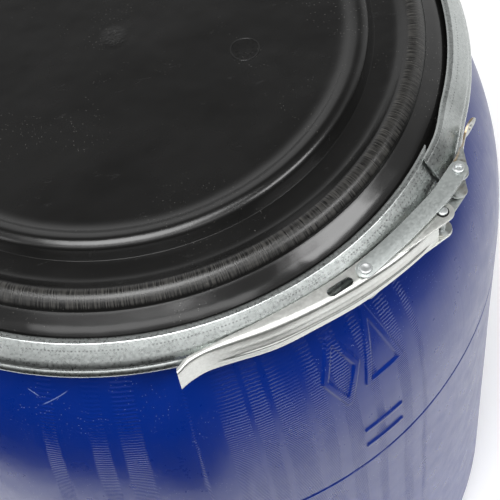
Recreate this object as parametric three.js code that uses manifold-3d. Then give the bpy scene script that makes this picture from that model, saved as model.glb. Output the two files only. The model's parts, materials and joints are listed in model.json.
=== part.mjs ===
// Open-top plastic drum with a lid and a lever-lock clamp ring.
// Millimetres, +Z up, origin at the middle of the base. Azimuths are degrees about Z, counted from +X.
import * as THREE from 'three';
import { mergeVertices } from 'three/addons/utils/BufferGeometryUtils.js';
import Module from 'manifold-3d';

const wasm = await Module();
wasm.setup();

// ---------- driving dimensions ----------
const LIP_HEIGHT = 518;          // clamp ring's top face above the floor
const WALL_RADIUS = 233;
const WALL = 3.6;                // drum wall thickness
const NECK_RADIUS = 197;         // outside of the neck below the rim
const NECK_WALL = 4.5;
const RIM_RADIUS = 206;          // drum rim, inside the ring
const RIM_TOP = -12.4;           // from the ring's top face, as are all heights in profiles
const SHOULDER_TOP = 490;
const PARTING_HEIGHT = 330;      // groove round the wall
const SHOULDER_POWER = 2.9;      // how quickly the shoulder fills out to the wall
const BASE_CORNER = 15;
const FOOT_INNER = 196;          // foot ring's inner edge
const FOOT_RECESS = 7;

const SHEET = 1.2;               // clamp ring, lever and brackets
const GAP = 0.3;                 // clearance between pieces that touch
const PLATE = 1.4;               // link plates

// closure, in plan: azimuth and radius of each rivet
const LEVER_PIVOT = { azimuth: -49.7, radius: 222.3 };
const LINK_PIVOT = { azimuth: -64.1, radius: 213.5 };
const LATCH_PIVOT = { azimuth: -42.5, radius: 218 };
const RING_HINGE_AZIMUTH = 130;  // where the ring's two halves meet, opposite the closure
const RING_RIGHT_END = -44.2;
const RING_LEFT_END = -41;

// closure, heights from the ring's top face
const LEVER_TOP = -4.3;
const LEVER_BOTTOM = -22.5;
const EAR_TOP = LEVER_TOP - SHEET - GAP;
const EAR_BOTTOM = LEVER_BOTTOM + SHEET + GAP;
const LINK_UPPER = -2.9;         // underside of the upper link plate
const LINK_LOWER = -23.9;        // top of the lower link plate
const RIVET_RADIUS = 2;
const HOLE_RADIUS = RIVET_RADIUS + GAP;
const HEAD_RADIUS = 3.5;
const HEAD = 1.2;
const HEAD_GAP = 0.2;

const STEP = 6;                  // degrees between facets of every round part

// ---------- helpers ----------
const rad = THREE.MathUtils.degToRad;
const polar = ({ azimuth, radius }) =>
  new THREE.Vector2(radius * Math.cos(rad(azimuth)), radius * Math.sin(rad(azimuth)));

function toSolid(geometry) {
  const bare = geometry.clone();
  bare.deleteAttribute('normal');
  bare.deleteAttribute('uv');
  const merged = mergeVertices(bare, 1e-4);
  return new wasm.Manifold(new wasm.Mesh({
    numProp: 3,
    vertProperties: new Float32Array(merged.attributes.position.array),
    triVerts: new Uint32Array(merged.index.array),
  }));
}

function toGeometry(solid) {
  const { vertProperties, triVerts } = solid.getMesh();
  const geometry = new THREE.BufferGeometry();
  geometry.setAttribute('position', new THREE.BufferAttribute(new Float32Array(vertProperties), 3));
  geometry.setIndex(new THREE.BufferAttribute(new Uint32Array(triVerts), 1));
  geometry.computeVertexNormals();
  return geometry;
}

const union = (...solids) => solids.reduce((whole, next) => whole.add(next));

// A closed profile of [radius, height above the ring's top face], turned about Z.
function turned(profile) {
  const points = profile.map(([r, z]) => new THREE.Vector2(r, z + LIP_HEIGHT));
  if (THREE.ShapeUtils.isClockWise(points)) points.reverse();
  if (points[0].x > 0) points.push(points[0].clone());
  const lathe = new THREE.LatheGeometry(points, 360 / STEP);
  return lathe.rotateX(Math.PI / 2);
}

// Plate of the given plan shape between two heights.
function plate(shape, bottom, top) {
  const geometry = new THREE.ExtrudeGeometry(shape, { depth: top - bottom, bevelEnabled: false, curveSegments: 6 });
  return toSolid(geometry.translate(0, 0, bottom + LIP_HEIGHT));
}

// Strip with round ends between two plan points.
function capsule(a, b, radius) {
  const along = Math.atan2(b.y - a.y, b.x - a.x);
  const shape = new THREE.Shape();
  shape.absarc(a.x, a.y, radius, along + Math.PI / 2, along + 1.5 * Math.PI);
  shape.absarc(b.x, b.y, radius, along - Math.PI / 2, along + Math.PI / 2);
  return shape;
}

function disc(centre, radius, bottom, top, sides = 20) {
  const geometry = new THREE.CylinderGeometry(radius, radius, top - bottom, sides);
  geometry.rotateX(Math.PI / 2);
  return toSolid(geometry.translate(centre.x, centre.y, LIP_HEIGHT + (top + bottom) / 2));
}

// Skin closed sections, each a loop of [radius, height] at its azimuth, into one solid.
function loft(azimuths, sectionAt) {
  const positions = [];
  const index = [];
  let count = 0;
  azimuths.forEach((azimuth) => {
    const section = sectionAt(azimuth);
    count = section.length;
    section.forEach(([radius, z]) => {
      const p = polar({ azimuth, radius });
      positions.push(p.x, p.y, z + LIP_HEIGHT);
    });
  });
  for (let s = 0; s < azimuths.length - 1; s++) {
    for (let i = 0; i < count; i++) {
      const a = s * count + i;
      const b = s * count + (i + 1) % count;
      index.push(a, b, b + count, a, b + count, a + count);
    }
  }
  const contour = sectionAt(azimuths[0]).map(([r, z]) => new THREE.Vector2(r, z));
  const caps = THREE.ShapeUtils.triangulateShape(contour, []);
  const last = (azimuths.length - 1) * count;
  const [p, q, r] = caps[0].map((i) => contour[i]);
  const sameTurn = THREE.ShapeUtils.isClockWise([p, q, r]) === THREE.ShapeUtils.isClockWise(contour);
  caps.forEach((corners) => {
    const [a, b, c] = sameTurn ? corners : [...corners].reverse();
    index.push(a, c, b, last + a, last + b, last + c);
  });
  if (!THREE.ShapeUtils.isClockWise(contour)) index.reverse();
  const geometry = new THREE.BufferGeometry();
  geometry.setAttribute('position', new THREE.Float32BufferAttribute(positions, 3));
  geometry.setIndex(index);
  return geometry;
}

// Azimuths from start to end, on the same grid as the turned parts.
function azimuthRange(start, end, step = STEP) {
  const list = [start];
  for (let a = (Math.floor(start / step) + 1) * step; a < end - 0.5; a += step) {
    if (a > start + 0.5) list.push(a);
  }
  return [...list, end];
}

// Move an open profile sideways by a distance, with mitred corners.
function offset(profile, distance) {
  const normal = (p, q) => {
    const d = new THREE.Vector2(q[0] - p[0], q[1] - p[1]).normalize();
    return new THREE.Vector2(-d.y, d.x);
  };
  return profile.map((point, i) => {
    const before = i > 0 ? normal(profile[i - 1], point) : normal(point, profile[i + 1]);
    const after = i < profile.length - 1 ? normal(point, profile[i + 1]) : before;
    const mitre = before.clone().add(after).normalize();
    const length = distance / mitre.dot(after);
    return [point[0] + mitre.x * length, point[1] + mitre.y * length];
  });
}

// ---------- turned parts ----------
function drumOuterShoulder(inset) {
  const points = [];
  const steps = 7;
  for (let i = 0; i <= steps; i++) {
    const down = i / steps;
    const height = SHOULDER_TOP + (PARTING_HEIGHT + 4 - SHOULDER_TOP) * down;
    const radius = WALL_RADIUS - (WALL_RADIUS - NECK_RADIUS) * (1 - down) ** SHOULDER_POWER;
    points.push([radius - inset, height - LIP_HEIGHT]);
  }
  return points;
}

function corner(radius, centreR, centreZ, from, to, steps = 3) {
  const points = [];
  for (let i = 0; i <= steps; i++) {
    const angle = rad(from + (to - from) * i / steps);
    points.push([centreR + radius * Math.cos(angle), centreZ + radius * Math.sin(angle)]);
  }
  return points;
}

function drumBody() {
  const floor = -LIP_HEIGHT;
  const inner = BASE_CORNER - WALL;
  const cornerR = WALL_RADIUS - BASE_CORNER;
  const groove = PARTING_HEIGHT - LIP_HEIGHT;
  const neckInner = NECK_RADIUS - NECK_WALL;
  return turned([
    [0, floor + FOOT_RECESS],
    [FOOT_INNER - 5, floor + FOOT_RECESS],
    [FOOT_INNER, floor],
    ...corner(BASE_CORNER, cornerR, floor + BASE_CORNER, -90, 0),
    [WALL_RADIUS, groove - 1.2],
    [WALL_RADIUS - 0.9, groove - 0.5],
    [WALL_RADIUS - 0.9, groove + 0.5],
    [WALL_RADIUS, groove + 1.2],
    ...drumOuterShoulder(0).reverse(),
    [NECK_RADIUS, -21.4],
    [NECK_RADIUS + 1.8, -19.3],
    [RIM_RADIUS, -17.7],
    [RIM_RADIUS, RIM_TOP - 0.8],
    [RIM_RADIUS - 0.8, RIM_TOP],
    [neckInner + 0.8, RIM_TOP],
    [neckInner, RIM_TOP - 0.8],
    [neckInner, SHOULDER_TOP - LIP_HEIGHT - 2],
    ...drumOuterShoulder(WALL).slice(1),
    ...corner(inner, cornerR, floor + BASE_CORNER, 0, -90),
    [FOOT_INNER + 3, floor + WALL],
    [FOOT_INNER - 2.5, floor + FOOT_RECESS + WALL],
    [0, floor + FOOT_RECESS + WALL],
  ]);
}

// The lid's top face, from the middle outwards: panel, bead, channel, raised rim, step, flange.
const PANEL = 12.3;
const LID_TOP = [
  [135.5, PANEL], [137.5, 13.1], [141, 15.5], [145, 16.9], [148.5, 15.6], [151, 11], [152.6, 7.7],
  [165.5, 7.7], [168.5, 9.2], [171.5, 11.2], [175, 11.9], [178.5, 11.2], [182, 7.4], [182.8, 5.8],
  [190.5, 0.6], [193.4, -2.3], [196.5, -5.2], [200.5, -7.1], [204, -9.4], [205.4, -10.8],
];
// Its underside, from the plug inwards.
const LID_UNDER = [[182, 4], [176.5, 8.8], [171.5, 7.9], [166, 4.9], [150, 4.9], [145.5, 13.8], [137, 9.8]];

function lid() {
  const thickness = 2.8;
  const plugOuter = NECK_RADIUS - NECK_WALL - 0.8;
  const plugInner = plugOuter - thickness;
  return turned([
    [0, PANEL],
    ...LID_TOP,
    [205.4, RIM_TOP + 0.6],
    [201.6, RIM_TOP + 0.6],
    [201.2, RIM_TOP + 2],
    [195.2, RIM_TOP + 2],
    [194.8, RIM_TOP + 0.6],
    [plugOuter, RIM_TOP + 0.6],
    [plugOuter, -27],
    [plugOuter - 1.2, -29],
    [plugInner, -29],
    [plugInner, -1.2],
    ...LID_UNDER,
    [0, PANEL - thickness],
  ]);
}

function gasket() {
  const bottom = RIM_TOP + 0.2;
  const top = RIM_TOP + 1.75;
  return turned([
    [195.6, bottom], [200.8, bottom], [200.8, top - 0.3], [200.2, top], [196.2, top], [195.6, top - 0.3],
  ]);
}

// ---------- clamp ring ----------
// Outside of the section: inner lip, sloping top flange, web with its roll, lower flange.
const RING_SECTION = [
  [195.0, -0.5], [196.4, -0.1], [198.2, -0.2], [206.2, -8.4], [207.6, -10.4], [207.9, -11.8], [207.5, -12.8],
  [208.9, -14.2], [209.7, -16.0], [209.0, -18.0], [207.2, -19.0], [199.4, -21.4],
];
const RING_OUTER = 209.7;
const OVERLAP = 3;               // how far the right-hand end stands out over the left-hand one

// The section, opened out by a share of the overlap: outwards, and taller both ways.
function ringSection(share) {
  const outside = RING_SECTION.map(([r, z]) => [r + share * OVERLAP, z + share * (1.6 + 0.137 * z)]);
  return [...outside, ...offset(outside, -SHEET).reverse()];
}

const overlapShare = (azimuth) => 1 - THREE.MathUtils.smoothstep(azimuth, -39.5, -30.5);

function ringLeft() {
  const start = RING_HINGE_AZIMUTH - 360 + 0.1;
  return loft(azimuthRange(start, RING_LEFT_END), () => ringSection(0));
}

function ringRight() {
  const azimuths = [RING_RIGHT_END, -42, -39, ...azimuthRange(-36, RING_HINGE_AZIMUTH)];
  return loft(azimuths, (azimuth) => ringSection(overlapShare(azimuth)));
}

// ---------- brackets ----------
// Curved strip between two radii.
function band(azimuths, innerAt, thickness, bottom, top) {
  return loft(azimuths, (azimuth) => {
    const inner = innerAt(azimuth);
    return [[inner, top], [inner + thickness, top], [inner + thickness, bottom], [inner, bottom]];
  });
}

// Saddle on the ring's left end: a base on the web and two ears inside the lever.
function leverBracket() {
  const pivot = polar(LEVER_PIVOT);
  const base = RING_OUTER + GAP;
  const root = polar({ azimuth: -50.5, radius: base + 6 });
  const strip = toSolid(band(azimuthRange(-56, -46.8, 2), () => base, SHEET, EAR_BOTTOM, EAR_TOP));
  const earShape = capsule(root, pivot, 5.4);
  const ears = union(
    plate(earShape, EAR_TOP - SHEET, EAR_TOP),
    plate(earShape, EAR_BOTTOM, EAR_BOTTOM + SHEET),
  );
  const hole = disc(pivot, HOLE_RADIUS, EAR_BOTTOM - 1, EAR_TOP + 1);
  return toGeometry(union(strip, ears).subtract(hole));
}

// Hook bracket on the ring's right end: it leaves the ring towards the link's ears on one side and
// ends in a seal tab bent outwards on the other.
function latchBracket() {
  const base = RING_OUTER + OVERLAP + GAP;
  const bend = (azimuth) =>
    base - 1.2 * THREE.MathUtils.smoothstep(azimuth, -38, -35) + 0.3 * Math.max(0, azimuth + 35) ** 1.8;
  const strip = toSolid(band(azimuthRange(-41.6, -31.6, 1), bend, SHEET, LEVER_BOTTOM, LEVER_TOP));
  const root = polar({ azimuth: -40.7, radius: base + 4 });
  const earShape = capsule(root, polar(LATCH_PIVOT), 5.7);
  const ears = union(
    plate(earShape, LEVER_TOP - SHEET, LEVER_TOP),
    plate(earShape, LEVER_BOTTOM, LEVER_BOTTOM + SHEET),
  );
  const tabAzimuth = -33;
  const eyelet = new THREE.CylinderGeometry(1.6, 1.6, 12, 16);
  eyelet.rotateZ(Math.PI / 2).rotateZ(rad(tabAzimuth));
  const tab = polar({ azimuth: tabAzimuth, radius: bend(tabAzimuth) + SHEET / 2 });
  eyelet.translate(tab.x, tab.y, LIP_HEIGHT + LEVER_TOP - 5);
  return toGeometry(union(strip, ears).subtract(toSolid(eyelet)));
}

// ---------- lever ----------
// Stations along the lever: azimuth, flange inner edge, top of web, bottom of web.
const LEVER_STATIONS = [
  [-94, 215.0, 216.5, 220.0],
  [-92.5, 212.4, 214.3, 216.4],
  [-90, 209.6, 211.9, 213.9],
  [-86, 207.0, 210.8, 213.8],
  [-80, 205.3, 212.0, 216.0],
  [-73, 204.9, 214.1, 216.6],
  [-66, 205.8, 216.8, 219.1],
  [-60, 206.8, 220.4, 220.9],
  [-52, 210.6, 224.4, 224.6],
];

function leverStation(azimuth) {
  const i = Math.min(
    LEVER_STATIONS.length - 2,
    LEVER_STATIONS.findLastIndex((station) => station[0] <= azimuth + 1e-6),
  );
  const [a, b] = [LEVER_STATIONS[i], LEVER_STATIONS[i + 1]];
  const t = (azimuth - a[0]) / (b[0] - a[0]);
  return [1, 2, 3].map((k) => THREE.MathUtils.lerp(a[k], b[k], t));
}

function leverSection(azimuth) {
  const [edge, top, bottom] = leverStation(azimuth);
  const lowerEdge = bottom - 6.5;
  return [
    [edge, LEVER_TOP], [top, LEVER_TOP], [bottom, LEVER_BOTTOM], [lowerEdge, LEVER_BOTTOM],
    [lowerEdge, LEVER_BOTTOM + SHEET], [bottom - SHEET, LEVER_BOTTOM + SHEET],
    [top - SHEET, LEVER_TOP - SHEET], [edge, LEVER_TOP - SHEET],
  ];
}

function lever() {
  const pivot = polar(LEVER_PIVOT);
  const link = polar(LINK_PIVOT);
  const azimuths = [...new Set([...LEVER_STATIONS.map((station) => station[0]), -88, -83, -76.5, -69.5, -63, -56])];
  const channel = toSolid(loft(azimuths.sort((a, b) => a - b), leverSection));
  const root = polar({ azimuth: -57.5, radius: 214.5 });
  const ends = union(
    plate(capsule(pivot, root, 6.3), LEVER_TOP - SHEET, LEVER_TOP),
    plate(capsule(pivot, root, 5.6), LEVER_BOTTOM, LEVER_BOTTOM + SHEET),
  );
  const slotShape = capsule(polar({ azimuth: -69.7, radius: 211.2 }), polar({ azimuth: -67.1, radius: 211.8 }), 2.6);
  const cuts = union(
    disc(pivot, HOLE_RADIUS, LEVER_BOTTOM - 1, LEVER_TOP + 1),
    disc(link, HOLE_RADIUS, LEVER_BOTTOM - 1, LEVER_TOP + 1),
    plate(slotShape, LEVER_TOP - 2 * SHEET, LEVER_TOP + 1),
  );
  return toGeometry(union(channel, ends).subtract(cuts));
}

// ---------- links and rivets ----------
// Link plate with two bends that bow it outwards, clear of the ring.
function linkPlate(bottom, halfWidth) {
  const from = polar(LATCH_PIVOT);
  const to = polar(LINK_PIVOT);
  const direction = to.clone().sub(from).normalize();
  const knee = (along, bow) =>
    from.clone().lerp(to, along).add(new THREE.Vector2(-direction.y, direction.x).multiplyScalar(bow));
  const path = [from, knee(0.25, 3), knee(0.62, 2.4), to];
  const legs = path.slice(1).map((end, i) => plate(capsule(path[i], end, halfWidth), bottom, bottom + PLATE));
  const holes = union(
    disc(from, HOLE_RADIUS, bottom - 1, bottom + PLATE + 1),
    disc(to, HOLE_RADIUS, bottom - 1, bottom + PLATE + 1),
  );
  return toGeometry(union(...legs).subtract(holes));
}

// Shank with a head at each end; the heads' inner faces are at bottom and top.
function rivet(place, bottom, top, lowerHead = HEAD_RADIUS, upperHead = HEAD_RADIUS) {
  const centre = polar(place);
  return toGeometry(union(
    disc(centre, RIVET_RADIUS, bottom - HEAD / 2, top + HEAD / 2),
    disc(centre, upperHead, top, top + HEAD),
    disc(centre, lowerHead, bottom - HEAD, bottom),
  ));
}

// ---------- assembly ----------
const plastic = (color) => new THREE.MeshStandardMaterial({ color, roughness: 0.4, metalness: 0 });
const steel = (color) => new THREE.MeshStandardMaterial({ color, roughness: 0.35, metalness: 1 });

const group = new THREE.Group();
function add(name, geometry, material) {
  const mesh = new THREE.Mesh(geometry, material);
  mesh.name = name;
  group.add(mesh);
}

const linkTop = LINK_UPPER + PLATE + HEAD_GAP;
const linkBottom = LINK_LOWER - PLATE - HEAD_GAP;
const footHeight = LEVER_TOP + GAP + HEAD;

add('drum_body', drumBody(), plastic(0x0b2f7a));
add('lid', lid(), plastic(0x1d1d1e));
add('lid_gasket', gasket(), new THREE.MeshStandardMaterial({ color: 0x2a2a2a, roughness: 0.9, metalness: 0 }));
add('clamp_ring_left', ringLeft(), steel(0xaab0b2));
add('clamp_ring_right', ringRight(), steel(0xaab0b2));
add('lever_bracket', leverBracket(), steel(0xa2a8aa));
add('latch_bracket', latchBracket(), steel(0xa2a8aa));
add('lever', lever(), steel(0xb4b9ba));
add('link_upper', linkPlate(LINK_UPPER, 5.35), steel(0xa8adae));
add('link_lower', linkPlate(LINK_LOWER - PLATE, 4.9), steel(0xa8adae));
add('rivet_lever_pivot', rivet(LEVER_PIVOT, LEVER_BOTTOM - HEAD_GAP, LEVER_TOP + HEAD_GAP), steel(0xc0c4c5));
add('rivet_link_lever', rivet(LINK_PIVOT, linkBottom, linkTop), steel(0xc0c4c5));
add('rivet_latch_upper', rivet(LATCH_PIVOT, footHeight - 0.3, linkTop, 3, HEAD_RADIUS), steel(0xc0c4c5));
add('rivet_latch_lower', rivet(LATCH_PIVOT, linkBottom, LEVER_BOTTOM - GAP - HEAD + 0.3, HEAD_RADIUS, 3), steel(0xc0c4c5));

export default group;
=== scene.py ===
"""Looks of an open-top plastic drum with a lid and a lever-lock clamp ring, built round its CAD frame.

Shapes are worked out in millimetres: radius and azimuth about the drum's axis, and height from the
clamp ring's top. place() turns them into metres in the CAD frame.
"""
import json
import math

import bmesh
import bpy
from mathutils import Matrix, Vector


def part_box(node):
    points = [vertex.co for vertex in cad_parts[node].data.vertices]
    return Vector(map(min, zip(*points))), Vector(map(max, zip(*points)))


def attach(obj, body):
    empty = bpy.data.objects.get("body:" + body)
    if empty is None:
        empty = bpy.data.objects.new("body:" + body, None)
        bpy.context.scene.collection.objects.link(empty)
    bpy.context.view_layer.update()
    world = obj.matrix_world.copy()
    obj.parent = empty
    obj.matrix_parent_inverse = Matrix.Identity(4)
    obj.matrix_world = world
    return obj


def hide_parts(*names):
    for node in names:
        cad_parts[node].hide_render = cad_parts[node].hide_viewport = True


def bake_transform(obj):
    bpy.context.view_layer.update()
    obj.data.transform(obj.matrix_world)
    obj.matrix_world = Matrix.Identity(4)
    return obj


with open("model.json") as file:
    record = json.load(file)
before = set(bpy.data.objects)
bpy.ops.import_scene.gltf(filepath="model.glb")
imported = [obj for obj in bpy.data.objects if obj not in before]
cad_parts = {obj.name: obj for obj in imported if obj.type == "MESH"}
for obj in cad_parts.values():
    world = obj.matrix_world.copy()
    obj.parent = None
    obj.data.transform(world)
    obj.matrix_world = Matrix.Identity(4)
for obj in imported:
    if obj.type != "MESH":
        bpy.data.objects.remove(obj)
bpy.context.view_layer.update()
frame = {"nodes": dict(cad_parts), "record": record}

# ---------------------------------------------------------------- places from the frame
MM = 0.001
RING_RIDGE = -0.1 * MM                    # the ring's ridge lies this far below its nominal top
RING_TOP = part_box("clamp_ring_left")[1].z - RING_RIDGE
DRUM_BASE = (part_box("drum_body")[0].z - RING_TOP) / MM
DRUM_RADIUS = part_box("drum_body")[1].x / MM
LID_TOP = (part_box("lid")[1].z - RING_TOP) / MM
LEVER_TOP = (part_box("lever")[1].z - RING_TOP) / MM
LEVER_BOTTOM = (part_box("lever")[0].z - RING_TOP) / MM
LINK_UPPER = (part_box("link_upper")[0].z - RING_TOP) / MM
LINK_LOWER = (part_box("link_lower")[1].z - RING_TOP) / MM
PLATE = (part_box("link_upper")[1].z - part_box("link_upper")[0].z) / MM
SHEET = 1.2
joints = {joint["name"]: joint for joint in frame["record"]["behaviour"]["joints"]}


def plan_of(point):
    """Plan position in millimetres of a point in metres."""
    return Vector((point[0], point[1])) / MM


LEVER_PIVOT = plan_of(joints["lever_open"]["pos_m"])
LINK_PIVOT = plan_of(joints["link_swing"]["pos_m"])
RING_HINGE = Vector(joints["ring_open"]["pos_m"])
latch_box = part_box("rivet_latch_upper")
LATCH_PIVOT = plan_of((latch_box[0] + latch_box[1]) / 2)
HINGE_AZIMUTH = math.degrees(math.atan2(RING_HINGE.y, RING_HINGE.x))


# ---------------------------------------------------------------- mesh helpers
def plan(azimuth, radius):
    angle = math.radians(azimuth)
    return Vector((radius * math.cos(angle), radius * math.sin(angle)))


def place(azimuth, radius, height):
    point = plan(azimuth, radius)
    return Vector((point.x * MM, point.y * MM, RING_TOP + height * MM))


def smoothstep(value, low, high):
    t = min(1.0, max(0.0, (value - low) / (high - low)))
    return t * t * (3 - 2 * t)


def lerp(a, b, t):
    return a + (b - a) * t


def span(start, end, step):
    """Evenly spaced numbers from start to end, about a step apart."""
    count = max(1, round(abs(end - start) / step))
    return [lerp(start, end, i / count) for i in range(count + 1)]


def rounded(corners, steps=5):
    """Polyline through (x, y) or (x, y, fillet) corners, each fillet being a short parabola."""
    points = []
    for i, corner in enumerate(corners):
        here = Vector(corner[:2])
        fillet = corner[2] if len(corner) > 2 else 0
        if i in (0, len(corners) - 1) or not fillet:
            points.append(here)
            continue
        before = Vector(corners[i - 1][:2]) - here
        after = Vector(corners[i + 1][:2]) - here
        start = here + before.normalized() * min(fillet, 0.48 * before.length)
        stop = here + after.normalized() * min(fillet, 0.48 * after.length)
        for k in range(steps + 1):
            t = k / steps
            points.append(start * (1 - t) ** 2 + here * 2 * t * (1 - t) + stop * t * t)
    return points


def offset(points, distance):
    """The open polyline moved to its left by a distance."""
    moved = []
    for i, point in enumerate(points):
        before = (point - points[i - 1]).normalized() if i else None
        after = (points[i + 1] - point).normalized() if i < len(points) - 1 else None
        along = ((before or after) + (after or before)).normalized()
        reach = distance / max(0.5, along.dot(after or before))
        moved.append(point + Vector((-along.y, along.x)) * reach)
    return moved


def sheet_section(outside):
    """Closed section of bent sheet, from the polyline of its outer face."""
    return outside + list(reversed(offset(outside, -SHEET)))


def skin(loops, closed=False):
    """Vertices and faces of a tube through closed loops, capped unless it closes on itself."""
    size = len(loops[0])
    vertices = [point for loop in loops for point in loop]
    faces = []
    for i in range(len(loops) if closed else len(loops) - 1):
        a, b = i * size, (i + 1) % len(loops) * size
        for k in range(size):
            n = (k + 1) % size
            faces.append((a + k, a + n, b + n, b + k))
    if not closed:
        faces.append(tuple(reversed(range(size))))
        faces.append(tuple(range((len(loops) - 1) * size, len(loops) * size)))
    return vertices, faces


def make(name, shape, smooth=40):
    """Object from (vertices, faces), cleaned up, with its faces pointing out."""
    mesh = bpy.data.meshes.new(name)
    mesh.from_pydata(*(shape[0], [], shape[1]))
    work = bmesh.new()
    work.from_mesh(mesh)
    bmesh.ops.remove_doubles(work, verts=work.verts, dist=1e-6)
    bmesh.ops.recalc_face_normals(work, faces=work.faces)
    work.to_mesh(mesh)
    work.free()
    piece = bpy.data.objects.new(name, mesh)
    bpy.context.collection.objects.link(piece)
    shade(piece, smooth)
    return piece


def shade(piece, smooth):
    mesh = piece.data
    mesh.polygons.foreach_set("use_smooth", [True] * len(mesh.polygons))
    mesh.set_sharp_from_angle(angle=math.radians(smooth))


def apply_modifiers(piece):
    bpy.context.view_layer.update()
    evaluated = piece.evaluated_get(bpy.context.evaluated_depsgraph_get())
    mesh = bpy.data.meshes.new_from_object(evaluated)
    piece.modifiers.clear()
    piece.data = mesh


def combine(piece, others, operation, smooth=35):
    """Joins other objects to the piece or cuts them out of it, and removes them."""
    for other in others:
        step = piece.modifiers.new("combine", "BOOLEAN")
        step.object = other
        step.operation = operation
        step.solver = "EXACT"
    apply_modifiers(piece)
    for other in others:
        bpy.data.objects.remove(other)
    shade(piece, smooth)


def soften(piece, width, segments=2, smooth=50):
    """Small rounded edges."""
    step = piece.modifiers.new("edges", "BEVEL")
    step.width = width * MM
    step.segments = segments
    step.limit_method = "ANGLE"
    step.angle_limit = math.radians(35)
    apply_modifiers(piece)
    shade(piece, smooth)


def finish_piece(piece, material, body, slot, *nodes):
    piece.data.materials.clear()
    piece.data.materials.append(material)
    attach(piece, body)
    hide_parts(*nodes)
    return piece


# ---------------------------------------------------------------- shapes
def lathe(profile, azimuths, displace=None):
    """Closed profile turned about the drum's axis. displace(azimuth, height) moves it outwards."""
    loops = []
    for azimuth in azimuths:
        loop = []
        for radius, height in profile:
            extra = displace(azimuth, radius, height) if displace else 0
            loop.append(place(azimuth, radius + extra, height))
        loops.append(loop)
    return skin(loops, closed=True)


def turned_at(centre, profile, sides=40):
    """Closed (radius, height) profile turned about a vertical axis at a plan position."""
    loops = []
    for i in range(sides):
        angle = math.tau * i / sides
        loops.append([
            Vector(((centre.x + r * math.cos(angle)) * MM, (centre.y + r * math.sin(angle)) * MM,
                    RING_TOP + z * MM))
            for r, z in profile
        ])
    return skin(loops, closed=True)


def prism(outline, bottom, top):
    """Flat plate of a plan outline in millimetres."""
    return skin([
        [Vector((p.x * MM, p.y * MM, RING_TOP + height * MM)) for p in outline]
        for height in (bottom, top)
    ])


def arc(centre, radius, start, end, steps=14):
    """Points on an arc in plan, angles in radians."""
    return [
        centre + Vector((math.cos(a), math.sin(a))) * radius
        for a in (lerp(start, end, i / steps) for i in range(steps + 1))
    ]


def strip_outline(centreline, half_width):
    """Plan outline of a strip with round ends along a centreline."""
    left, right = [], []
    for i, point in enumerate(centreline):
        ahead = centreline[min(i + 1, len(centreline) - 1)] - centreline[max(i - 1, 0)]
        side = Vector((-ahead.y, ahead.x)).normalized()
        left.append(point + side * half_width)
        right.append(point - side * half_width)
    first = centreline[0] - centreline[1]
    last = centreline[-1] - centreline[-2]
    turn = math.atan2(last.y, last.x)
    cap = arc(centreline[-1], half_width, turn - math.pi / 2, turn + math.pi / 2)
    turn = math.atan2(first.y, first.x)
    tail = arc(centreline[0], half_width, turn - math.pi / 2, turn + math.pi / 2)
    return right[1:-1] + cap + list(reversed(left[1:-1])) + tail


def capsule(a, b, radius, end_radius=None):
    """Strip between two plan points with round ends, which may differ."""
    turn = math.atan2(b.y - a.y, b.x - a.x)
    return (arc(b, end_radius or radius, turn - math.pi / 2, turn + math.pi / 2)
            + arc(a, radius, turn + math.pi / 2, turn + math.pi * 1.5))


# ---------------------------------------------------------------- material helpers
def new_material(name):
    material = bpy.data.materials.new(name)
    material.use_nodes = True
    material.node_tree.nodes.clear()
    return material


class Graph:
    """Short ways to add shader nodes and link them."""

    def __init__(self, tree):
        self.tree = tree

    def node(self, kind, inputs=None, **settings):
        made = self.tree.nodes.new(kind)
        for key, value in settings.items():
            setattr(made, key, value)
        for key, value in (inputs or {}).items():
            if isinstance(value, bpy.types.NodeSocket):
                self.tree.links.new(value, made.inputs[key])
            else:
                made.inputs[key].default_value = value
        return made

    def calc(self, operation, *values):
        return self.node("ShaderNodeMath", dict(enumerate(values)), operation=operation).outputs[0]

    def blend(self, factor, a, b):
        """Number or colour between a and b."""
        coloured = any(isinstance(v, tuple) or getattr(v, "type", "") == "RGBA" for v in (a, b))
        if coloured:
            mixed = self.node("ShaderNodeMix", {0: factor, 6: a, 7: b}, data_type="RGBA")
            return mixed.outputs[2]
        return self.node("ShaderNodeMix", {0: factor, 2: a, 3: b}, data_type="FLOAT").outputs[0]

    def ramp(self, value, low, high, to_low=0.0, to_high=1.0):
        inputs = {0: value, 1: low, 2: high, 3: to_low, 4: to_high}
        return self.node("ShaderNodeMapRange", inputs, interpolation_type="SMOOTHSTEP").outputs[0]

    def noise(self, vector, scale, detail=2.0, rough=0.5):
        inputs = {"Vector": vector, "Scale": scale, "Detail": detail, "Roughness": rough}
        return self.node("ShaderNodeTexNoise", inputs).outputs[0]

    def cells(self, vector, scale):
        return self.node("ShaderNodeTexVoronoi", {"Vector": vector, "Scale": scale})

    def vector(self, x, y, z):
        return self.node("ShaderNodeCombineXYZ", {0: x, 1: y, 2: z}).outputs[0]

    def stretched(self, across, across_scale, up, up_scale, layer=0.0):
        """Texture coordinates with their own scale each way."""
        return self.vector(self.calc("MULTIPLY", across, across_scale), layer,
                           self.calc("MULTIPLY", up, up_scale))

    def bump(self, height, distance, normal=None):
        inputs = {"Height": height, "Strength": 1.0, "Distance": distance}
        if normal:
            inputs["Normal"] = normal
        return self.node("ShaderNodeBump", inputs).outputs[0]

    def surface(self, **inputs):
        shader = self.node("ShaderNodeBsdfPrincipled", inputs)
        self.node("ShaderNodeOutputMaterial", {"Surface": shader.outputs[0]})


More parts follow.
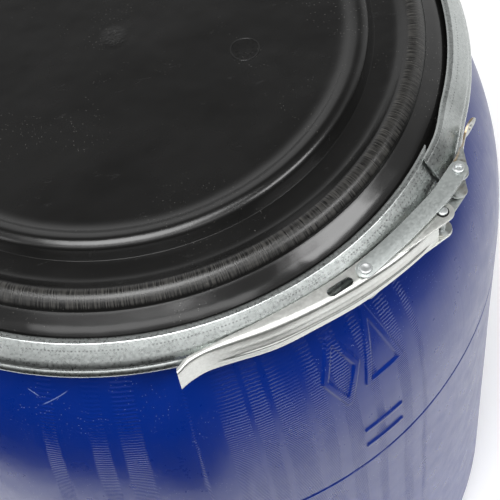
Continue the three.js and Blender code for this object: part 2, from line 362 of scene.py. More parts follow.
def cylindrical(graph):
    """Object-space position, radius, angle about the axis, and height above the ring's top, in metres."""
    position = graph.node("ShaderNodeTexCoord").outputs["Object"]
    x, y, z = graph.node("ShaderNodeSeparateXYZ", {0: position}).outputs
    radius = graph.calc("SQRT", graph.calc("ADD", graph.calc("POWER", x, 2.0), graph.calc("POWER", y, 2.0)))
    angle = graph.calc("ARCTAN2", y, x)
    return position, radius, angle, graph.calc("SUBTRACT", z, RING_TOP)


# ---------------------------------------------------------------- materials
# Upright bands of flow ripples on the drum: azimuth of the middle, half width, both in degrees.
RIPPLE_BANDS = [
    (-115.5, 1.2), (-108.4, 1.35), (-103.6, 1.75), (-94.6, 0.25), (-88.2, 2.1), (-84.2, 1.3), (-79.8, 2.3),
    (-75.6, 1.3), (-71.2, 1.4), (-66.5, 0.9), (-61, 1.2), (-57, 0.7),
]


def blue_polyethylene():
    """Glossy blow-moulded skin: upright bands of fine flow ripples, die lines, dust and scratches."""
    material = new_material("blue_polyethylene")
    g = Graph(material.node_tree)
    position, _, angle, height = cylindrical(g)
    around = g.calc("MULTIPLY", angle, DRUM_RADIUS * MM)
    wander = g.calc("MULTIPLY", g.noise(g.vector(around, 0.0, height), 16.0), 0.004)
    across = g.calc("ADD", around, g.calc("SUBTRACT", wander, 0.002))
    banded = None
    shift = None
    for azimuth, half_width in RIPPLE_BANDS:
        middle = math.radians(azimuth) * DRUM_RADIUS * MM
        half = math.radians(half_width) * DRUM_RADIUS * MM
        away = g.calc("ABSOLUTE", g.calc("SUBTRACT", across, middle))
        inside = g.ramp(away, half + 0.0007, half - 0.0012)
        banded = inside if banded is None else g.calc("MAXIMUM", banded, inside)
        turn = g.calc("MULTIPLY", g.calc("LESS_THAN", away, half + 0.0007), azimuth * 1.7)
        shift = turn if shift is None else g.calc("ADD", shift, turn)
    warp = g.noise(g.stretched(around, 320.0, height, 45.0), 1.0)
    tighter = g.ramp(height, -0.16, -0.03, 1.3, 0.95)
    phase = g.calc("ADD", g.calc("MULTIPLY", height, g.calc("MULTIPLY", tighter, 2300.0)),
                   g.calc("ADD", g.calc("MULTIPLY", warp, 4.0), shift))
    patches = g.noise(g.stretched(around, 40.0, height, 11.0, 3.0), 1.0)
    strength = g.calc("MULTIPLY", banded, g.ramp(patches, 0.3, 0.5, 0.35, 1.0))
    faint = g.calc("MULTIPLY", g.ramp(g.noise(position, 11.0), 0.4, 0.65),
                   g.ramp(height, -0.12, -0.05, 0.02, 0.14))
    ripple = g.calc("MULTIPLY", g.calc("SINE", phase), g.calc("MAXIMUM", strength, faint))
    lines = g.noise(g.stretched(around, 520.0, height, 3.0, 7.0), 1.0, 1.0)
    far = g.ramp(g.calc("ABSOLUTE", g.calc("ADD", angle, 1.5)), 0.55, 0.8, 0.3, 0.9)
    grain = g.noise(position, 900.0, 2.0)
    relief = g.calc("ADD", ripple, g.calc("MULTIPLY", lines, far))
    relief = g.calc("ADD", relief, g.calc("MULTIPLY", grain, 0.1))
    normal = g.bump(relief, 0.00009)
    normal = g.bump(g.noise(position, 20.0, 2.0), 0.0005, normal)

    dust = g.cells(position, 520.0).outputs["Distance"]
    fewer = g.ramp(g.noise(position, 30.0, 2.0), 0.48, 0.6)
    specks = g.calc("MULTIPLY", g.ramp(dust, 0.13, 0.07), fewer)
    scuff = scratches(g, around, height)
    tone = g.noise(position, 7.0, 3.0)
    colour = g.blend(tone, (0.0001, 0.0150, 0.155, 1), (0.0003, 0.0185, 0.190, 1))
    colour = g.blend(g.calc("MULTIPLY", specks, 0.5), colour, (0.5, 0.56, 0.75, 1))
    colour = g.blend(g.calc("MULTIPLY", scuff, 0.4), colour, (0.3, 0.38, 0.62, 1))
    rough = g.ramp(g.noise(position, 60.0, 4.0, 0.6), 0.3, 0.75, 0.27, 0.34)
    rough = g.calc("ADD", rough, g.calc("MULTIPLY", scuff, 0.2))
    g.surface(**{"Base Color": colour, "Roughness": rough, "Normal": normal, "IOR": 1.48})
    return material


def scratches(g, around, height):
    """Two light scratches on the shoulder, left of the closure: azimuth, height, half length, slope."""
    total = None
    for azimuth, level, length, slope in ((-114.0, -0.0466, 0.0095, 0.56), (-117.4, -0.0445, 0.004, -0.5)):
        middle = math.radians(azimuth) * DRUM_RADIUS * MM
        along = g.calc("SUBTRACT", around, middle)
        bend = g.calc("MULTIPLY", g.calc("POWER", along, 2.0), 4.0)
        level_here = g.calc("ADD", g.calc("MULTIPLY", along, slope), bend)
        away = g.calc("ABSOLUTE", g.calc("SUBTRACT", g.calc("SUBTRACT", height, level), level_here))
        reach = g.ramp(g.calc("ABSOLUTE", along), length, length * 0.6)
        line = g.calc("MULTIPLY", g.ramp(away, 0.0005, 0.0001), reach)
        total = line if total is None else g.calc("MAXIMUM", total, line)
    return total


def black_polyethylene():
    """Injection-moulded lid: satin panel with dust and scuffs, turned rim flank whose chatter is lightened to
    tan as a painted highlight, glossy flange.
    """
    material = new_material("black_polyethylene")
    g = Graph(material.node_tree)
    position, radius, angle, _ = cylindrical(g)
    flank = g.calc("MULTIPLY", g.ramp(radius, 0.1715, 0.1735), g.ramp(radius, 0.1825, 0.181))
    chatter = g.noise(g.stretched(angle, 290.0, radius, 90.0), 1.0, 3.0)
    gloss = g.ramp(radius, 0.1832, 0.1845)
    grain = g.noise(position, 1400.0, 2.0)
    scuffs = g.noise(g.node("ShaderNodeMapping", {"Vector": position, "Rotation": (0, 0, 0.5),
                     "Scale": (1.0, 2.5, 1.0)}).outputs[0], 60.0, 5.0, 0.75)
    gate = g.calc("MULTIPLY", g.ramp(radius, 0.010, 0.003), g.noise(position, 700.0, 3.0))
    turned = g.calc("MULTIPLY", chatter, g.calc("MULTIPLY", flank, 0.8))
    moulded = g.calc("MULTIPLY", grain, g.ramp(gloss, 0.0, 1.0, 0.25, 0.04))
    relief = g.calc("ADD", turned, g.calc("ADD", moulded, g.calc("MULTIPLY", gate, 4.0)))
    normal = g.bump(relief, 0.00012)
    normal = g.bump(g.noise(position, 30.0, 2.0), 0.0006, normal)
    dust = g.cells(position, 480.0).outputs["Distance"]
    fewer = g.ramp(g.noise(position, 26.0, 2.0), 0.5, 0.62)
    specks = g.calc("MULTIPLY", g.ramp(dust, 0.14, 0.07), fewer)
    marks = g.ramp(scuffs, 0.60, 0.72)
    colour = g.blend(g.noise(position, 8.0, 3.0), (0.003, 0.003, 0.003, 1), (0.0065, 0.0063, 0.006, 1))
    # Painted highlight: the turned chatter on the rim flank is lightened towards tan where the chatter noise
    # is high.
    painted_chatter_highlight = g.calc("MULTIPLY", flank, g.ramp(chatter, 0.42, 0.7, 0.0, 0.2))
    colour = g.blend(painted_chatter_highlight, colour, (0.2, 0.19, 0.17, 1))
    colour = g.blend(g.calc("MULTIPLY", specks, 0.3), colour, (0.3, 0.29, 0.27, 1))
    colour = g.blend(g.calc("MULTIPLY", marks, 0.03), colour, (0.12, 0.12, 0.12, 1))
    satin = g.ramp(g.noise(position, 18.0, 4.0), 0.3, 0.7, 0.22, 0.29)
    satin = g.calc("ADD", satin, g.calc("MULTIPLY", marks, 0.08))
    rough = g.blend(gloss, satin, 0.17)
    rough = g.blend(flank, rough, g.ramp(chatter, 0.3, 0.7, 0.24, 0.42))
    g.surface(**{"Base Color": colour, "Roughness": rough, "Normal": normal, "IOR": 1.52})
    return material


def galvanised(name, light, dark, rough_low, rough_high, dotted=False, stain=0.0):
    """Zinc-coated sheet: mottled spangle, fine pits and rolling lines round the ring."""
    material = new_material(name)
    g = Graph(material.node_tree)
    position, radius, angle, height = cylindrical(g)
    spangle = g.node("ShaderNodeSeparateColor", {0: g.cells(position, 800.0).outputs["Color"]}).outputs[0]
    mottle = g.noise(position, 620.0, 4.0, 0.6)
    cloud = g.noise(position, 55.0, 3.0)
    rolled = g.noise(g.vector(g.calc("MULTIPLY", angle, 6.0), g.calc("MULTIPLY", radius, 900.0),
                              g.calc("MULTIPLY", height, 900.0)), 1.0, 3.0)
    mix = g.calc("ADD", g.calc("MULTIPLY", spangle, 0.25), g.calc("MULTIPLY", mottle, 0.55))
    mix = g.calc("ADD", mix, g.calc("MULTIPLY", g.calc("ADD", cloud, rolled), 0.14))
    colour = g.blend(g.ramp(mix, 0.2, 0.85), dark, light)
    pits = g.ramp(g.cells(position, 420.0).outputs["Distance"], 0.09, 0.03)
    pits = g.calc("MULTIPLY", pits, g.ramp(cloud, 0.5, 0.6))
    colour = g.blend(g.calc("MULTIPLY", pits, 0.1), colour, (0.15, 0.15, 0.15, 1))
    if stain:
        brown = g.calc("MULTIPLY", g.ramp(g.noise(position, 160.0, 3.0), 0.42, 0.66), stain)
        colour = g.blend(brown, colour, (0.28, 0.2, 0.1, 1))
    if dotted:
        line = g.ramp(g.calc("ABSOLUTE", g.calc("SUBTRACT", radius, 0.2012)), 0.00035, 0.00015)
        dots = g.ramp(g.calc("SINE", g.calc("MULTIPLY", angle, 620.0)), -0.2, 0.4)
        broken = g.ramp(g.noise(g.vector(g.calc("MULTIPLY", angle, 9.0), 0.0, 0.0), 1.0), 0.4, 0.5)
        dots = g.calc("MULTIPLY", line, g.calc("MULTIPLY", dots, broken))
        colour = g.blend(g.calc("MULTIPLY", dots, 0.5), colour, (0.05, 0.05, 0.05, 1))
    rough = g.ramp(g.calc("ADD", mottle, g.calc("MULTIPLY", rolled, 0.3)), 0.4, 0.95, rough_low, rough_high)
    relief = g.calc("ADD", g.calc("MULTIPLY", mottle, 0.6), g.calc("MULTIPLY", rolled, 0.5))
    normal = g.bump(relief, 0.000016)
    normal = g.bump(cloud, 0.00016, normal)
    g.surface(**{"Base Color": colour, "Metallic": 1.0, "Roughness": rough, "Normal": normal})
    return material


def foam_rubber():
    material = new_material("foam_rubber")
    g = Graph(material.node_tree)
    position = g.node("ShaderNodeTexCoord").outputs["Object"]
    pores = g.cells(position, 900.0).outputs["Distance"]
    colour = g.blend(pores, (0.012, 0.012, 0.012, 1), (0.05, 0.05, 0.05, 1))
    g.surface(**{"Base Color": colour, "Roughness": 0.85, "Normal": g.bump(pores, 0.0003)})
    return material


BLUE = blue_polyethylene()
BLACK = black_polyethylene()
RUBBER = foam_rubber()
RING_STEEL = galvanised("ring_galvanised", (0.62, 0.65, 0.64, 1), (0.46, 0.49, 0.48, 1), 0.25, 0.38,
                        dotted=True)
LEVER_STEEL = galvanised("lever_galvanised", (0.72, 0.73, 0.7, 1), (0.6, 0.61, 0.58, 1), 0.37, 0.46)
LINK_STEEL = galvanised("link_galvanised", (0.52, 0.55, 0.54, 1), (0.42, 0.45, 0.44, 1), 0.42, 0.54)
BRACKET_STEEL = galvanised("bracket_galvanised", (0.58, 0.6, 0.59, 1), (0.4, 0.42, 0.41, 1), 0.3, 0.5,
                           stain=0.25)
CUT_EDGE = galvanised("cut_edge", (0.55, 0.5, 0.42, 1), (0.36, 0.3, 0.22, 1), 0.4, 0.6, stain=0.8)
RIVET_STEEL = galvanised("rivet_zinc", (0.6, 0.62, 0.62, 1), (0.48, 0.5, 0.5, 1), 0.42, 0.54)

# ---------------------------------------------------------------- camera
CAMERA_BACK = 536 * MM                    # in front of the drum's axis
CAMERA_RISE = 578.6 * MM                  # above the ring
YAW, PITCH, ROLL = (math.radians(a) for a in (5.89, 56.99, -10.94))
forward = Vector((math.sin(YAW) * math.cos(PITCH), math.cos(YAW) * math.cos(PITCH), -math.sin(PITCH)))
level_right = Vector((math.cos(YAW), -math.sin(YAW), 0))
level_up = level_right.cross(forward)
camera_right = level_right * math.cos(ROLL) + level_up * math.sin(ROLL)
camera_up = level_up * math.cos(ROLL) - level_right * math.sin(ROLL)
camera_data = bpy.data.cameras.new("camera")
camera_data.sensor_width = 36
camera_data.lens = 93.35
camera = bpy.data.objects.new("camera", camera_data)
bpy.context.collection.objects.link(camera)
camera.matrix_world = Matrix((
    (*[v.x for v in (camera_right, camera_up, -forward)], 0),
    (*[v.y for v in (camera_right, camera_up, -forward)], -CAMERA_BACK),
    (*[v.z for v in (camera_right, camera_up, -forward)], RING_TOP + CAMERA_RISE),
    (0, 0, 0, 1),
))
bpy.context.scene.camera = camera

# ---------------------------------------------------------------- drum
NECK = 197
NECK_INNER = 192.5
RIM = 206
RIM_TOP = -12.4
SHOULDER_TOP = -28
PARTING = -188
SHOULDER_END = PARTING + 4
SHOULDER_POWER = 2.9
WALL = 3.6

# Raised marks on the shoulder: azimuth and height of the middle, then strokes in millimetres.
MARKS = [
    (-71.2, -76, [(-11, 0), (0, 26), (11, 0), (0, -26), (-11, 0)]),
    (-64.2, -72, [(-13, -25), (0, 25), (13, -25), (-13, -25)]),
    (-66.0, -143, [(-13, 0), (13, 0)]),
    (-66.0, -163, [(-13, 0), (13, 0)]),
]
STROKE = 2.3
STROKE_HEIGHT = 1.1


def segment_distance(point, a, b):
    along = b - a
    t = min(1.0, max(0.0, (point - a).dot(along) / along.length_squared))
    return (point - a - along * t).length


def drum_relief(azimuth, radius, height):
    """Raised marks and the slight waviness of a blown wall."""
    if radius < NECK_INNER + 1 or height > -26:
        return 0
    extra = 0
    for centre, level, stroke in MARKS:
        across = math.radians(azimuth - centre) * radius
        up = height - level
        if abs(across) > 20 or abs(up) > 34:
            continue
        here = Vector((across, up))
        points = [Vector(p) for p in stroke]
        near = min(segment_distance(here, a, b) for a, b in zip(points, points[1:]))
        extra = max(extra, STROKE_HEIGHT * (1 - smoothstep(near, STROKE * 0.7, STROKE * 1.05)))
    fade = smoothstep(height, SHOULDER_TOP, -60) if height > -60 else 1
    turn = math.radians(azimuth)
    wave = math.sin(5 * turn + height / 55) * 0.16 + math.sin(11 * turn - height / 30 + 1.3) * 0.08
    return extra + wave * fade


def shoulder_radius(height):
    down = (SHOULDER_TOP - height) / (SHOULDER_TOP - SHOULDER_END)
    return DRUM_RADIUS - (DRUM_RADIUS - NECK) * max(0.0, 1 - down) ** SHOULDER_POWER


def drum_shell():
    base = DRUM_BASE
    foot = rounded([
        (0, base + 7), (188, base + 7, 3), (196, base + 0.4, 3), (203, base, 2), (216, base, 8),
        (DRUM_RADIUS, base + 14, 16), (DRUM_RADIUS, base + 30),
    ], steps=8)
    wall = [Vector((DRUM_RADIUS, h)) for h in span(base + 40, PARTING - 12, 8)]
    groove = rounded([
        (DRUM_RADIUS, PARTING - 3), (DRUM_RADIUS, PARTING - 1.3, 0.6),
        (DRUM_RADIUS - 0.95, PARTING - 0.4, 0.4), (DRUM_RADIUS - 0.95, PARTING + 0.4, 0.4),
        (DRUM_RADIUS, PARTING + 1.3, 0.6), (DRUM_RADIUS, PARTING + 3),
    ])
    shoulder = [Vector((shoulder_radius(h), h)) for h in span(SHOULDER_END, SHOULDER_TOP, 0.9)]
    rim = rounded([
        (NECK, SHOULDER_TOP + 3), (NECK, -21.6, 1.5), (NECK + 2.4, -19.3, 1), (RIM, -17.6, 1),
        (RIM, RIM_TOP, 1.4), (NECK_INNER, RIM_TOP, 1.4), (NECK_INNER, -30, 4),
    ])
    inside = [Vector((max(NECK_INNER, shoulder_radius(h) - WALL), h)) for h in span(-36, SHOULDER_END, 12)]
    inner_foot = rounded([
        (DRUM_RADIUS - WALL, base + 16, 12), (216, base + WALL, 8), (198, base + WALL, 3),
        (192, base + 7 + WALL, 3), (0, base + 7 + WALL),
    ], steps=6)
    profile = foot + wall + groove + shoulder + rim + inside + inner_foot
    fine = span(-79, -57, 0.13)
    coarse = span(-57, 281, 2)
    shape = lathe([tuple(p) for p in profile], fine + coarse[1:-1], drum_relief)
    piece = make("drum_shell", shape, smooth=50)
    return finish_piece(piece, BLUE, "drum", "blue_plastic", "drum_body")


# ---------------------------------------------------------------- lid
def lid_shell():
    panel = LID_TOP - 4.6
    top = rounded([
        (0, panel), (60, panel), (133, panel, 3), (137.0, panel + 1.1, 3), (140.4, panel + 3.6, 4),
        (145.0, panel + 5.2, 5), (149.6, panel + 3.2, 5), (151.7, panel - 2.2, 2), (152.9, panel - 4.6, 0.15),
        (165.0, panel - 4.6, 3), (168.8, panel - 2.9, 2), (172.0, panel - 0.8, 2.5), (175.2, panel - 0.1, 3),
        (178.8, panel - 1.2, 3), (182.2, 7.2, 1.6), (182.9, 5.6, 0.5), (190.5, 0.6, 3), (196.5, -5.2, 3),
        (200.5, -7.2, 2), (204, -9.5, 2), (205.4, -11, 0.8), (205.4, RIM_TOP + 0.6, 0.4),
    ], steps=7)
    under = rounded([
        (201.6, RIM_TOP + 0.6), (201.2, RIM_TOP + 2), (195.2, RIM_TOP + 2), (194.8, RIM_TOP + 0.6),
        (191.7, RIM_TOP + 0.6, 0.6), (191.7, -29, 1), (188.9, -29, 1), (188.9, -1.2, 3), (182, 4, 2),
        (176.5, 8.8, 2), (171.5, 7.9, 2), (166, 4.9, 2), (150, 4.9, 2), (145.5, 13.8, 2), (137, 9.6, 3),
        (0, panel - 2.8),
    ], steps=4)
    shape = lathe([tuple(p) for p in top + under], span(0, 360, 1.5)[:-1])
    piece = make("lid_shell", shape, smooth=35)
    return finish_piece(piece, BLACK, "drum", "black_plastic", "lid")


def lid_dial():
    """Small raised moulding dial: a ring with ticks and a short pointer."""
    centre = plan(-27.0, 79.5)
    panel = LID_TOP - 4.6
    low, high = panel - 0.4, panel + 0.28
    rim = [(8.0, low), (8.0, high - 0.1), (8.2, high), (8.5, high), (8.7, high - 0.1), (8.7, low)]
    piece = make("lid_dial", turned_at(centre, rim, 72))
    ticks = []
    for i in range(12):
        direction = plan(30 * i, 1)
        outer = 7.0 if i % 3 else 5.4
        outline = capsule(centre + direction * 4.4, centre + direction * outer, 0.3)
        ticks.append(make(f"tick_{i}", prism(outline, low, high - 0.05)))
    pointer = capsule(centre - plan(75, 2.6), centre + plan(75, 2.6), 0.35)
    ticks.append(make("pointer", prism(pointer, low, high)))
    combine(piece, ticks, "UNION")
    return finish_piece(piece, BLACK, "drum", "black_plastic")


# ---------------------------------------------------------------- clamp ring
RING_CORNERS = [
    (195.0, -0.6), (196.2, -0.15, 0.4), (198.5, -0.15, 0.35), (206.2, -8.2, 1.6), (207.6, -10.4, 1.2),
    (207.8, -11.8, 0.5), (207.3, -12.5, 0.5), (208.7, -13.7, 0.9), (209.7, -16.0, 1.8),
    (208.9, -18.2, 1.3), (207.0, -19.1, 1.3), (199.4, -21.4),
]
OVERLAP_OUT = 3.0
RIGHT_END = -44.2
LEFT_END = -40.4
RING_STEP = 1.2
SEAM_AZIMUTH = HINGE_AZIMUTH - 29         # from here on the ring has turned with its right half


def ring_section(share):
    """Section loop; share is how far it opens out over the left-hand end."""
    outside = []
    for point in rounded(RING_CORNERS):
        lift = share * (1.5 + 0.13 * point.y)
        outside.append(Vector((point.x + share * OVERLAP_OUT, point.y + lift)))
    return sheet_section(outside)


def right_share(azimuth):
    return 1 - smoothstep(azimuth, -39.5, -30.5)


def ring_loops(azimuths, share=lambda azimuth: 0.0, shear=lambda azimuth, point: 0.0):
    loops = []
    for azimuth in azimuths:
        section = ring_section(share(azimuth))
        loops.append([place(azimuth + shear(azimuth, p), p.x, p.y) for p in section])
    return loops


def left_end_cut(azimuth, point):
    """The lip runs on to a thin point while the rest is cut back, under the right-hand end."""
    back = 2.2 * smoothstep(point.x, 195.2, 199)
    return -back * smoothstep(azimuth, LEFT_END - 3, LEFT_END)


def right_end_cut(azimuth, point):
    """The right-hand end is cut in a shallow curve."""
    rounding = 1.5 * math.sin(math.pi * smoothstep(point.x - OVERLAP_OUT, 193, 211))
    return (1.1 - rounding) * smoothstep(azimuth, RIGHT_END + 3, RIGHT_END)


def clamp_ring():
    left = ring_loops(span(HINGE_AZIMUTH - 360, LEFT_END - 5, RING_STEP)[:-1]
                      + span(LEFT_END - 5, LEFT_END, 0.5), shear=left_end_cut)
    left = make("ring_left", skin(left), smooth=50)
    finish_piece(left, RING_STEEL, "drum", "ring_steel", "clamp_ring_left")
    right = ring_loops(span(RIGHT_END, -30, 0.5)[:-1] + span(-30, SEAM_AZIMUTH, RING_STEP),
                       right_share, right_end_cut)
    right = make("ring_right", skin(right), smooth=50)
    finish_piece(right, RING_STEEL, "ring_right", "ring_steel", "clamp_ring_right")
    back = make("ring_back", skin(ring_loops(span(SEAM_AZIMUTH, HINGE_AZIMUTH, RING_STEP))), smooth=50)
    back.data.materials.append(RING_STEEL)
    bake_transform(back)


# ---------------------------------------------------------------- brackets
RING_OUTER = 209.7
EAR_TOP = LEVER_TOP - SHEET - 0.3
EAR_BOTTOM = LEVER_BOTTOM + SHEET + 0.3


def wall_strip(name, azimuths, radius_at, low_at, high_at):
    """Upright curved strip of sheet."""
    loops = []
    for azimuth in azimuths:
        inner = radius_at(azimuth)
        low, high = low_at(azimuth), high_at(azimuth)
        loops.append([place(azimuth, r, z) for r, z in (
            (inner, high), (inner + SHEET, high), (inner + SHEET, low), (inner, low))])
    return make(name, skin(loops))


def rust_top_edges(piece):
    """The sheared upper edges of the sheet show the steel, a little stained."""
    piece.data.materials.append(CUT_EDGE)
    for face in piece.data.polygons:
        if abs(face.normal.z) > 0.8 and face.area < 6 * MM * MM:
            face.material_index = 1


def lever_bracket():
    base = RING_OUTER + 0.3
    piece = wall_strip("lever_saddle", span(-56, -46.8, 0.8), lambda a: base,
                       lambda a: EAR_BOTTOM, lambda a: EAR_TOP)
    outline = capsule(plan(-50.5, base + 6), LEVER_PIVOT, 5.4)
    ears = [
        make("ear_top", prism(outline, EAR_TOP - SHEET, EAR_TOP)),
        make("ear_bottom", prism(outline, EAR_BOTTOM, EAR_BOTTOM + SHEET)),
    ]
    combine(piece, ears, "UNION")
    soften(piece, 0.25)
    return finish_piece(piece, BRACKET_STEEL, "drum", "bracket_steel", "lever_bracket")


TAB_AZIMUTH = -33.3
TAB_HEIGHT = -9.2


def hook_radius(azimuth):
    """The hook bracket lies on the ring, and its seal tab bends out."""
    return RING_OUTER + 3.3 - 1.2 * smoothstep(azimuth, -38, -35) + 0.3 * max(0.0, azimuth + 35) ** 1.8


def hook_half_height(azimuth):
    """Half height past the ears: a narrow neck, then a round leaf."""
    leaf = 4.6 * math.sqrt(max(0.0, 1 - ((azimuth - TAB_AZIMUTH) / 1.7) ** 2))
    return max(leaf, 2.2 * (azimuth < TAB_AZIMUTH), 0.4)


def hook_top(azimuth):
    return lerp(LEVER_TOP, TAB_HEIGHT + hook_half_height(azimuth), smoothstep(azimuth, -39, -36.5))


def hook_bottom(azimuth):
    return lerp(LEVER_BOTTOM, TAB_HEIGHT - hook_half_height(azimuth), smoothstep(azimuth, -39, -36.5))


def latch_bracket():
    piece = wall_strip("latch_hook", span(-41.6, -31.65, 0.25), hook_radius, hook_bottom, hook_top)
    outline = capsule(LATCH_PIVOT, plan(-38.4, RING_OUTER + 4.2), 5.7, 1.0)
    ears = [
        make("ear_top", prism(outline, LEVER_TOP - SHEET, LEVER_TOP)),
        make("ear_bottom", prism(outline, LEVER_BOTTOM, LEVER_BOTTOM + SHEET)),
    ]
    combine(piece, ears, "UNION")
    hole = turned_at(Vector((0, 0)), [(0, -8), (1.9, -8), (1.9, 8), (0, 8)], 24)
    cutter = make("eyelet", ([v - Vector((0, 0, RING_TOP)) for v in hole[0]], hole[1]))
    centre = place(TAB_AZIMUTH, hook_radius(TAB_AZIMUTH), TAB_HEIGHT)
    cutter.matrix_world = Matrix.Translation(centre) @ Matrix.Rotation(
        math.radians(TAB_AZIMUTH), 4, "Z") @ Matrix.Rotation(math.pi / 2, 4, "Y")
    combine(piece, [cutter], "DIFFERENCE")
    soften(piece, 0.25)
    finish_piece(piece, BRACKET_STEEL, "ring_right", "bracket_steel", "latch_bracket")
    rust_top_edges(piece)


# ---------------------------------------------------------------- lever
# Stations along the lever: azimuth, flange inner edge, web radius at the top and at the bottom.
LEVER_STATIONS = [
    (-94.2, 215.4, 218.4, 220.2),
    (-92.5, 211.9, 215.2, 216.6),
    (-90, 209.5, 212.2, 214.0),
    (-86, 206.9, 211.2, 213.9),
    (-80, 205.2, 212.1, 216.0),
    (-73, 204.9, 214.2, 216.7),
    (-66, 205.8, 217.0, 219.2),
    (-60, 206.9, 220.5, 221.0),
    (-51.6, 210.6, 224.4, 224.7),
]


def station(azimuth):
    """Smoothly interpolated station values (Catmull-Rom)."""
    table = LEVER_STATIONS
    i = max(0, min(len(table) - 2, sum(row[0] <= azimuth for row in table) - 1))
    rows = [table[max(0, i - 1)], table[i], table[i + 1], table[min(len(table) - 1, i + 2)]]
    t = (azimuth - rows[1][0]) / (rows[2][0] - rows[1][0])
    values = []
    for k in (1, 2, 3):
        slope_a = (rows[2][k] - rows[0][k]) / (rows[2][0] - rows[0][0]) * (rows[2][0] - rows[1][0])
        slope_b = (rows[3][k] - rows[1][k]) / (rows[3][0] - rows[1][0]) * (rows[2][0] - rows[1][0])
        a, b = rows[1][k], rows[2][k]
        values.append((2 * t**3 - 3 * t**2 + 1) * a + (t**3 - 2 * t**2 + t) * slope_a
                      + (3 * t**2 - 2 * t**3) * b + (t**3 - t**2) * slope_b)
    return values


def lever_section(azimuth):
    edge, top, bottom = station(azimuth)
    tip = 1 - smoothstep(azimuth, -93, -88)
    upper = LEVER_TOP - 3.2 * (1 - smoothstep(azimuth, -94.4, -92.4))
    bead = 0.8 * smoothstep(azimuth, -89, -84) * (1 - smoothstep(azimuth, -56, -52.5))

    def web(share, out=0.0, fillet=0.8):
        return (lerp(top, bottom, share) + out * bead, lerp(upper, LEVER_BOTTOM, share), fillet)

    corners = [
        (edge, upper), (top, upper, min(lerp(3.2, 4.0, tip), (top - edge) * 0.7)),
        web(0.3), web(0.385, -0.2), web(0.47),
        web(0.62, 0, 0.5), web(0.66, 0.9, 0.5), web(0.71, 0.9, 0.5), web(0.75, 0, 0.5),
        (bottom, LEVER_BOTTOM, 2.4), (bottom - lerp(6.5, 2.6, tip), LEVER_BOTTOM),
    ]
    return sheet_section(rounded(corners, steps=4))


def lever():
    azimuths = span(-94.2, -51.6, 0.6)
    loops = [[place(a, p.x, p.y) for p in lever_section(a)] for a in azimuths]
    piece = make("lever_arm", skin(loops), smooth=45)
    root = plan(-57.5, 214.5)
    hubs = [
        make("hub_top", prism(capsule(LEVER_PIVOT, root, 6.3), LEVER_TOP - SHEET, LEVER_TOP)),
        make("hub_bottom", prism(capsule(LEVER_PIVOT, root, 5.6), LEVER_BOTTOM, LEVER_BOTTOM + SHEET)),
    ]
    for hub in hubs:
        soften(hub, 0.25)
    combine(piece, hubs, "UNION", smooth=45)
    slot = capsule(plan(-69.8, 211.2), plan(-67.0, 211.8), 2.7)
    combine(piece, [make("slot_cut", prism(slot, LEVER_TOP - 7, LEVER_TOP + 2))], "DIFFERENCE", smooth=45)
    return finish_piece(piece, LEVER_STEEL, "lever", "lever_steel", "lever")


# ---------------------------------------------------------------- links and rivets
def link_plate(name, bottom, half_width, node):
    """Strip bowed outwards in two bends."""
    direction = (LINK_PIVOT - LATCH_PIVOT).normalized()
    out = Vector((-direction.y, direction.x))
    first = LATCH_PIVOT.lerp(LINK_PIVOT, 0.25) + out * 3.0
    second = LATCH_PIVOT.lerp(LINK_PIVOT, 0.62) + out * 2.4
    path = rounded([tuple(LATCH_PIVOT), (*first, 4), (*second, 4), tuple(LINK_PIVOT)], steps=4)
    piece = make(name, prism(strip_outline(path, half_width), bottom, bottom + PLATE))
    soften(piece, 0.3)
    return finish_piece(piece, LINK_STEEL, "link", "bracket_steel", node)


def rivet(name, centre, low, high, body, node, closed_end="disc"):
    """Shank with a head at each end; low and high are the heads' outer faces."""
    head = 1.2
    if closed_end == "tube":
        cap = [(0, high - 1.3), (1.1, high - 1.3), (1.7, high - 0.7), (2.0, high - 0.1), (2.4, high),
               (3.1, high - 0.2), (3.5, high - 0.7), (3.5, high - head)]
    elif closed_end == "pin":
        cap = [(0, high), (1.9, high), (2.5, high - 0.15), (2.8, high - 0.5), (2.8, high - head),
               (3.5, high - head)]
    else:
        cap = [(0, high - 0.15), (1.7, high - 0.15), (2.0, high), (2.9, high), (3.4, high - 0.25),
               (3.6, high - 0.6), (3.6, high - head)]
    foot = [(2, high - head), (2, low + head), (3.5, low + head), (3.2, low + 0.4), (2.2, low), (0, low)]
    piece = make(name, turned_at(centre, cap + foot, 40), smooth=45)
    return finish_piece(piece, RIVET_STEEL, body, "rivet_steel", node)


def closure():
    lever_bracket()
    latch_bracket()
    lever()
    link_plate("link_top", LINK_UPPER, 5.35, "link_upper")
    link_plate("link_bottom", LINK_LOWER - PLATE, 4.9, "link_lower")
    for name, centre, body, end in (
        ("rivet_lever_pivot", LEVER_PIVOT, "drum", "pin"),
        ("rivet_link_lever", LINK_PIVOT, "lever", "disc"),
        ("rivet_latch_upper", LATCH_PIVOT, "link", "tube"),
        ("rivet_latch_lower", LATCH_PIVOT, "link", "disc"),
    ):
        low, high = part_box(name)
        rivet(name.replace("rivet", "pin"), centre, (low.z - RING_TOP) / MM, (high.z - RING_TOP) / MM,
              body, name, end)


# ---------------------------------------------------------------- floor and light
def floor_edge(azimuth):
    """Radius of the paper's edge: nearer in front and on the left, where the gloss shows none of it."""
    near = 480 * smoothstep(azimuth, -82, -98) - 110 * smoothstep(azimuth, -101, -114)
    return 940 - near * smoothstep(azimuth, -178, -150)


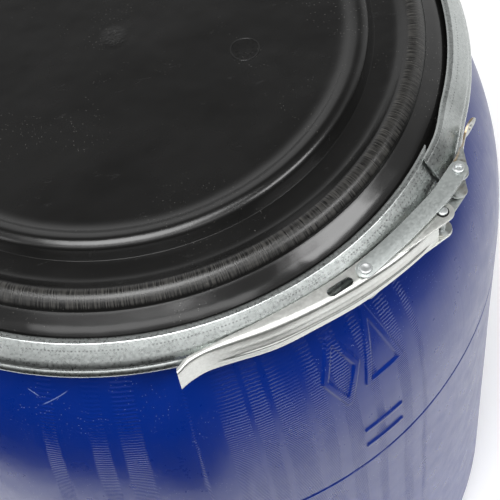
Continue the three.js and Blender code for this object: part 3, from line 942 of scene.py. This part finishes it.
def studio():
    outline = [plan(a, floor_edge(a)) for a in span(-180, 180, 2)[:-1]]
    floor = make("floor", prism(outline, DRUM_BASE - 2.4, DRUM_BASE - 2))
    material = new_material("floor_paper")
    g = Graph(material.node_tree)
    grain = g.noise(g.node("ShaderNodeTexCoord").outputs["Object"], 40.0, 3.0)
    g.surface(**{"Base Color": g.blend(grain, (0.94, 0.94, 0.94, 1), (0.96, 0.96, 0.96, 1)), "Roughness": 0.9,
                 "Emission Color": (1, 1, 1, 1), "Emission Strength": 0.12})
    floor.data.materials.append(material)

    world = bpy.data.worlds.new("studio")
    world.use_nodes = True
    bpy.context.scene.world = world
    g = Graph(world.node_tree)
    world.node_tree.nodes.clear()
    direction = g.node("ShaderNodeTexCoord").outputs["Generated"]
    _, y, z = g.node("ShaderNodeSeparateXYZ", {0: direction}).outputs
    behind = g.ramp(z, 0.45, 0.85, 0.9, 0.06)
    ahead = g.calc("ADD", 0.03, g.calc("MULTIPLY", g.ramp(z, 0.15, 0.45), g.ramp(z, 0.95, 0.6, 0.05, 0.4)))
    room = g.blend(g.ramp(y, -0.15, 0.35), ahead, behind)
    seen = g.node("ShaderNodeLightPath").outputs["Is Camera Ray"]
    sky = g.node("ShaderNodeBackground", {"Color": (1, 1, 1, 1), "Strength": g.blend(seen, room, 1.0)})
    g.node("ShaderNodeOutputWorld", {"Surface": sky.outputs[0]})

    soft_box("overhead", (-0.3, -0.62, 2.35), (-0.1, -0.15, 0.4), 1.25, 1.25, 46)
    soft_box("right", (1.13, -0.89, 1.66), (0, -0.1, 0.5), 0.8, 0.5, 11)
    soft_box("front", (-0.4, -1.62, 1.9), (-0.05, -0.2, 0.5), 2.3, 0.5, 10)
    soft_box("left", (-1.8, -0.6, 1.2), (0, -0.1, 0.5), 0.8, 0.8, 6)


def soft_box(name, where, target, width, height, power):
    data = bpy.data.lights.new(name, "AREA")
    data.shape = "RECTANGLE"
    data.size = width
    data.size_y = height
    data.energy = power
    light = bpy.data.objects.new(name, data)
    bpy.context.collection.objects.link(light)
    light.location = where
    light.rotation_euler = (Vector(target) - Vector(where)).to_track_quat("-Z", "Y").to_euler()


# ---------------------------------------------------------------- build
drum_shell()
lid_shell()
lid_dial()
clamp_ring()
closure()
gasket = frame["nodes"]["lid_gasket"]
gasket.data.materials.clear()
gasket.data.materials.append(RUBBER)
studio()
bpy.context.scene.view_settings.view_transform = "Standard"
